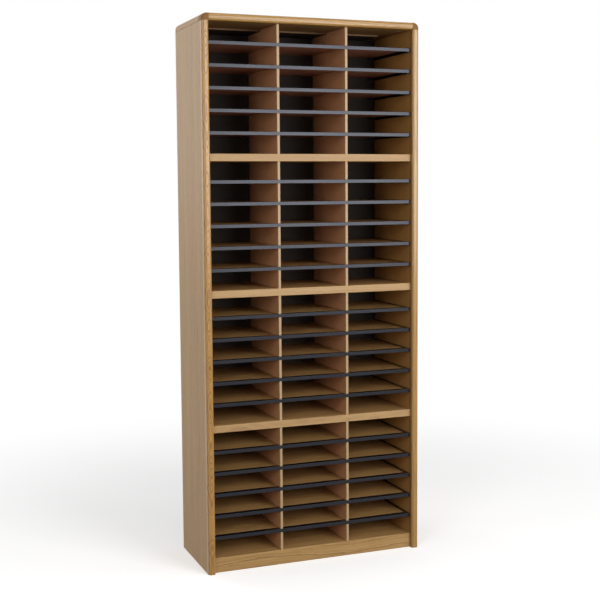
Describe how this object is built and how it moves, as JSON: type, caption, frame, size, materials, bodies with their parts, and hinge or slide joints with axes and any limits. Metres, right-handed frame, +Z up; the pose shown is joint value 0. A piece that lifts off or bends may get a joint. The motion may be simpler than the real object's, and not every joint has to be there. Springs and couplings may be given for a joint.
{
  "type": "literature organizer",
  "caption": "Tall floor-standing literature organizer of oak-look boards with rows of letter-size compartments, thin fixed shelves and black label mouldings.",
  "frame": {"origin": "on the floor, under the middle of the cabinet's outside box", "axes": "+X to the right as the open front is faced, +Y to the back (the open front faces -Y), +Z up"},
  "size_m": [0.8, 0.334, 1.905],
  "materials": {
    "oak_laminate": "satin oak-look laminate on particleboard",
    "oak_edge": "satin rounded oak-look edge with open cathedral grain",
    "oak_corner": "satin darker oak",
    "divider_board": "oak-look faces with a pale banded front edge",
    "shelf_hardboard": "thin hardboard with oak-look face",
    "black_hardboard": "matte black painted hardboard",
    "black_plastic": "satin black extruded plastic",
    "steel_hardware": "zinc plated",
    "beech_dowel": "bare beech"
  },
  "bodies": {
    "root": {"back_panel": "black_hardboard", "back_screws": "steel_hardware", "base_rail": "oak_laminate", "bottom_panel": "oak_laminate", "cam_bolts": "steel_hardware", "cam_locks": "steel_hardware", "divider_1_1": "divider_board", "divider_1_2": "divider_board", "divider_2_1": "divider_board", "divider_2_2": "divider_board", "divider_3_1": "divider_board", "divider_3_2": "divider_board", "divider_4_1": "divider_board", "divider_4_2": "divider_board", "dowels": "beech_dowel", "fixed_shelf_1": "oak_laminate", "fixed_shelf_2": "oak_laminate", "fixed_shelf_3": "oak_laminate", "label_mouldings_1": "black_plastic", "label_mouldings_2": "black_plastic", "label_mouldings_3": "black_plastic", "label_mouldings_4": "black_plastic", "left_corner_block": "oak_corner", "left_corner_moulding": "oak_laminate", "left_front_edge": "oak_edge", "left_side_panel": "oak_laminate", "rear_clips": "black_plastic", "right_corner_block": "oak_corner", "right_corner_moulding": "oak_laminate", "right_front_edge": "oak_edge", "right_side_panel": "oak_laminate", "side_rails_1": "black_plastic", "side_rails_2": "black_plastic", "side_rails_3": "black_plastic", "side_rails_4": "black_plastic", "thin_shelf_1_1": "shelf_hardboard", "thin_shelf_1_2": "shelf_hardboard", "thin_shelf_1_3": "shelf_hardboard", "thin_shelf_1_4": "shelf_hardboard", "thin_shelf_1_5": "shelf_hardboard", "thin_shelf_2_1": "shelf_hardboard", "thin_shelf_2_2": "shelf_hardboard", "thin_shelf_2_3": "shelf_hardboard", "thin_shelf_2_4": "shelf_hardboard", "thin_shelf_2_5": "shelf_hardboard", "thin_shelf_3_1": "shelf_hardboard", "thin_shelf_3_2": "shelf_hardboard", "thin_shelf_3_3": "shelf_hardboard", "thin_shelf_3_4": "shelf_hardboard", "thin_shelf_3_5": "shelf_hardboard", "thin_shelf_4_1": "shelf_hardboard", "thin_shelf_4_2": "shelf_hardboard", "thin_shelf_4_3": "shelf_hardboard", "thin_shelf_4_4": "shelf_hardboard", "thin_shelf_4_5": "shelf_hardboard", "top_cleat": "black_hardboard", "top_front_edge": "oak_edge", "top_panel": "oak_laminate"}
  },
  "joints": []
}
